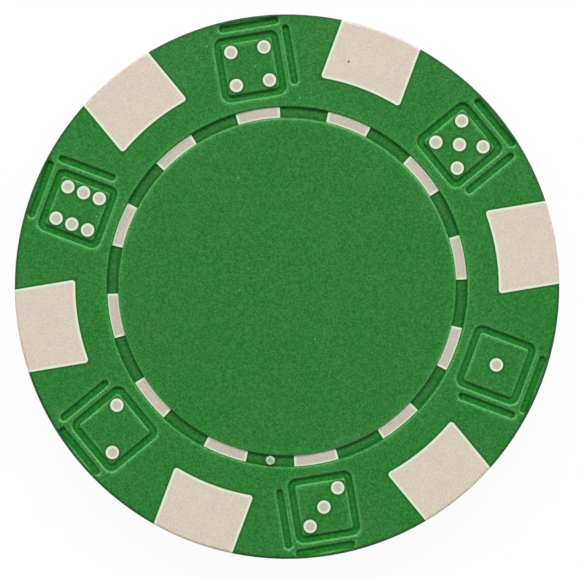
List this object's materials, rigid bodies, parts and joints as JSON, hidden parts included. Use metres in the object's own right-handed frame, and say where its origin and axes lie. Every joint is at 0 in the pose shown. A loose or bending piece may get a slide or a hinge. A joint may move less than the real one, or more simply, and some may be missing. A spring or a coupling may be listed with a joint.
{
  "type": "poker chip",
  "caption": "Round two-colour moulded casino chip with a steel slug inside, cream edge spots, a blocked ring groove and engraved die faces round the rim, alike on both faces.",
  "frame": {"origin": "centre of the bottom face, which the chip lies on", "axes": "+Z through the thickness, out of the top face; +X through the middle of edge spot 1; +Y completes the right-handed frame"},
  "size_m": [0.039, 0.039, 0.0033],
  "materials": {
    "green_plastic": "matte, spark-eroded mould grain",
    "cream_plastic": "matte, fine mould grain",
    "slug_steel": "blanked sheet, unfinished"
  },
  "bodies": {
    "root": {"chip_body": "green_plastic", "slug_carrier": "cream_plastic", "weight_slug": "slug_steel", "edge_spot_1": "cream_plastic", "edge_spot_2": "cream_plastic", "edge_spot_3": "cream_plastic", "edge_spot_4": "cream_plastic", "edge_spot_5": "cream_plastic", "edge_spot_6": "cream_plastic", "ring_block_top_01": "cream_plastic", "ring_block_top_02": "cream_plastic", "ring_block_top_03": "cream_plastic", "ring_block_top_04": "cream_plastic", "ring_block_top_05": "cream_plastic", "ring_block_top_06": "cream_plastic", "ring_block_top_07": "cream_plastic", "ring_block_top_08": "cream_plastic", "ring_block_top_09": "cream_plastic", "ring_block_top_10": "cream_plastic", "ring_block_top_11": "cream_plastic", "ring_block_top_12": "cream_plastic", "ring_block_bottom_01": "cream_plastic", "ring_block_bottom_02": "cream_plastic", "ring_block_bottom_03": "cream_plastic", "ring_block_bottom_04": "cream_plastic", "ring_block_bottom_05": "cream_plastic", "ring_block_bottom_06": "cream_plastic", "ring_block_bottom_07": "cream_plastic", "ring_block_bottom_08": "cream_plastic", "ring_block_bottom_09": "cream_plastic", "ring_block_bottom_10": "cream_plastic", "ring_block_bottom_11": "cream_plastic", "ring_block_bottom_12": "cream_plastic", "pips_one_top": "cream_plastic", "pips_two_top": "cream_plastic", "pips_three_top": "cream_plastic", "pips_four_top": "cream_plastic", "pips_five_top": "cream_plastic", "pips_six_top": "cream_plastic", "pips_one_bottom": "cream_plastic", "pips_two_bottom": "cream_plastic", "pips_three_bottom": "cream_plastic", "pips_four_bottom": "cream_plastic", "pips_five_bottom": "cream_plastic", "pips_six_bottom": "cream_plastic"}
  },
  "joints": []
}
